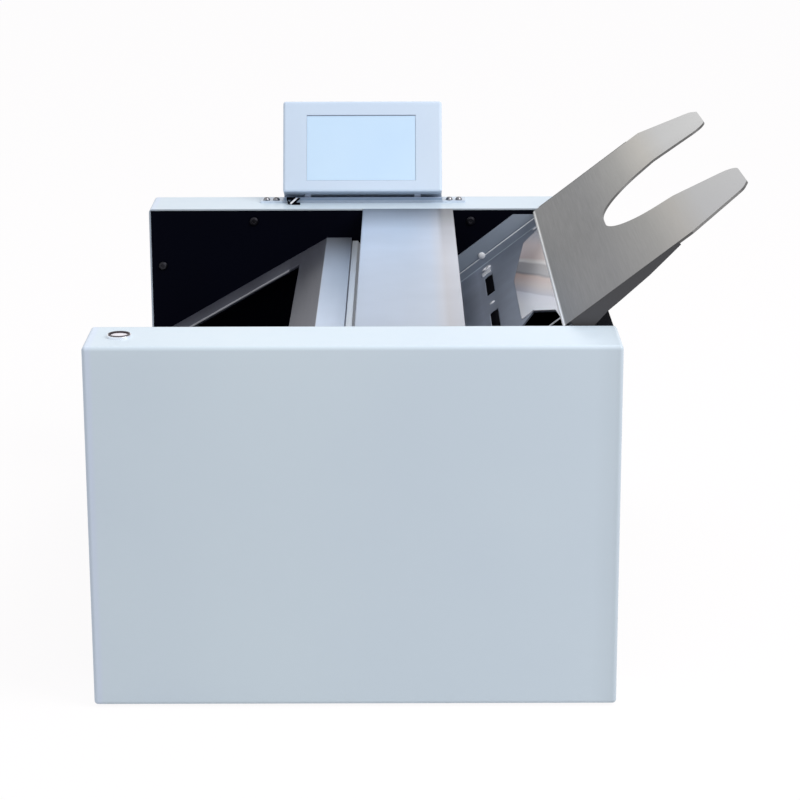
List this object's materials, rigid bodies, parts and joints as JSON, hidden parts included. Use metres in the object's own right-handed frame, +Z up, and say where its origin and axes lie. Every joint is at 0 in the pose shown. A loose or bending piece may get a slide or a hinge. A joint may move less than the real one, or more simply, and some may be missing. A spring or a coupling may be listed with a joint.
{
  "type": "paper folding machine",
  "caption": "Desktop knife folding machine with an angled infeed tray, a sloping exit hood and a tilting touch panel.",
  "frame": {"origin": "on the floor under the middle of the body, between its two side covers", "axes": "+X to the right along the front, towards the infeed tray; +Y back into the depth; +Z up"},
  "size_m": [0.5042, 0.5971, 0.3853],
  "materials": {
    "cover_paint": "fine satin powder coat",
    "black_paint": "black satin",
    "zinc_steel": "galvanised, dull",
    "stainless": "brushed along Y",
    "white_paint": "fine satin",
    "polished_steel": "polished",
    "tool_steel": "ground",
    "light_alloy": "satin",
    "dark_rubber": "matte",
    "black_plastic": "matte",
    "pale_plastic": "satin",
    "screen_glass": "gloss",
    "board": "gloss",
    "brass_contacts": "plain",
    "motor_black": "satin"
  },
  "bodies": {
    "machine": {"front_cover": "cover_paint", "rear_cover": "cover_paint", "front_frame_plate": "black_paint", "rear_frame_plate": "black_paint", "base_plate": "zinc_steel", "rubber_feet": "dark_rubber", "right_end_plate": "black_paint", "left_end_plate": "black_paint", "tie_bars": "tool_steel", "frame_screws": "zinc_steel", "upper_bed": "zinc_steel", "lower_bed": "zinc_steel", "glide_plate": "polished_steel", "front_bed_wall": "zinc_steel", "rear_bed_wall": "zinc_steel", "front_tray_arm": "black_paint", "rear_tray_arm": "black_paint", "infeed_tray": "stainless", "arm_spacers": "light_alloy", "exit_hood": "white_paint", "exit_guide": "zinc_steel", "top_plate": "white_paint", "panel_bracket": "zinc_steel", "panel_hinge_pin": "tool_steel", "bracket_screws": "zinc_steel", "button_housing": "polished_steel", "power_inlet": "black_plastic", "inlet_contacts": "brass_contacts", "switch_frame": "black_plastic", "power_supply": "light_alloy", "control_board": "board", "shaft_bearings": "tool_steel", "drive_belts": "dark_rubber", "belt_motors": "motor_black", "knife_rails": "tool_steel", "stop_brackets": "zinc_steel", "stop_rods": "tool_steel", "stop_motor": "motor_black", "stop_belt": "dark_rubber"},
    "panel": {"panel_housing": "pale_plastic", "touch_screen": "screen_glass"},
    "button_cap": {"start_button": "polished_steel"},
    "switch_rocker": {"power_rocker": "black_plastic"},
    "knife": {"knife_blade": "tool_steel", "knife_beam": "light_alloy", "knife_racks": "tool_steel"},
    "knife_drive": {"knife_shaft": "tool_steel", "knife_pulley": "light_alloy"},
    "knife_motor_rotor": {"knife_motor_pulley": "light_alloy"},
    "upper_roller": {"upper_fold_roller": "dark_rubber", "upper_gear_pulley": "tool_steel"},
    "lower_roller": {"lower_fold_roller": "dark_rubber", "lower_gear_pulley": "tool_steel"},
    "fold_motor_rotor": {"fold_motor_pulley": "light_alloy"},
    "feed_shaft": {"feed_roller": "dark_rubber", "feed_pulley": "light_alloy"},
    "stop_carriage": {"stop_bar": "light_alloy", "stop_blocks": "black_plastic"},
    "stop_motor_rotor": {"stop_motor_pulley": "light_alloy"},
    "stop_idler": {"stop_idler_pulley": "light_alloy"}
  },
  "joints": [
    {"name": "panel_tilt", "type": "hinge", "parent": "machine", "child": "panel", "pos_m": [0, 0.26754, 0.29463], "axis": [1, 0, 0], "range_deg": [-20, 22]},
    {"name": "start_press", "type": "slide", "parent": "machine", "child": "button_cap", "axis": [0, 0, -1], "range_m": [0, 0.0015], "stiffness_N_per_m": 800, "springref_m": -0.001},
    {"name": "rocker_tilt", "type": "hinge", "parent": "machine", "child": "switch_rocker", "pos_m": [0.045, 0.291, 0.085], "axis": [0, 0, 1], "range_deg": [-8, 8]},
    {"name": "knife_lift", "type": "slide", "parent": "machine", "child": "knife", "axis": [-0.6088, 0, 0.7934], "range_m": [0, 0.028]},
    {"name": "knife_shaft_spin", "type": "hinge", "parent": "machine", "child": "knife_drive", "pos_m": [0.12766, 0, 0.12847], "axis": [0, 1, 0], "range_deg": [-1, 134.69]},
    {"name": "knife_motor_spin", "type": "hinge", "parent": "machine", "child": "knife_motor_rotor", "pos_m": [0.15, 0, 0.045], "axis": [0, 1, 0], "range_deg": [-1, 134.69]},
    {"name": "upper_roller_spin", "type": "hinge", "parent": "machine", "child": "upper_roller", "pos_m": [0.05087, 0, 0.22082], "axis": [0, 1, 0], "continuous": true},
    {"name": "lower_roller_spin", "type": "hinge", "parent": "machine", "child": "lower_roller", "pos_m": [0.0266, 0, 0.20219], "axis": [0, 1, 0], "continuous": true},
    {"name": "fold_motor_spin", "type": "hinge", "parent": "machine", "child": "fold_motor_rotor", "pos_m": [0.15, 0, 0.045], "axis": [0, 1, 0], "continuous": true},
    {"name": "feed_spin", "type": "hinge", "parent": "machine", "child": "feed_shaft", "pos_m": [0.12356, 0, 0.22415], "axis": [0, 1, 0], "continuous": true},
    {"name": "stop_slide", "type": "slide", "parent": "machine", "child": "stop_carriage", "axis": [0.7934, 0, 0.6088], "range_m": [-0.06, 0.06]},
    {"name": "stop_motor_spin", "type": "hinge", "parent": "machine", "child": "stop_motor_rotor", "pos_m": [-0.01212, 0, 0.10694], "axis": [-0.6088, 0, 0.7934], "range_deg": [-430.72, 430.72]},
    {"name": "stop_idler_spin", "type": "hinge", "parent": "machine", "child": "stop_idler", "pos_m": [-0.10573, 0, 0.0351], "axis": [-0.6088, 0, 0.7934], "range_deg": [-430.72, 430.72]}
  ],
  "couplings": [
    {"joint": "knife_shaft_spin", "follows": "knife_lift", "rad_per_m": 83.333},
    {"joint": "knife_motor_spin", "follows": "knife_lift", "rad_per_m": 83.333},
    {"joint": "lower_roller_spin", "follows": "upper_roller_spin", "ratio": -1},
    {"joint": "fold_motor_spin", "follows": "upper_roller_spin", "ratio": 1},
    {"joint": "feed_spin", "follows": "upper_roller_spin", "ratio": -1},
    {"joint": "stop_motor_spin", "follows": "stop_slide", "rad_per_m": -125},
    {"joint": "stop_idler_spin", "follows": "stop_slide", "rad_per_m": -125}
  ]
}
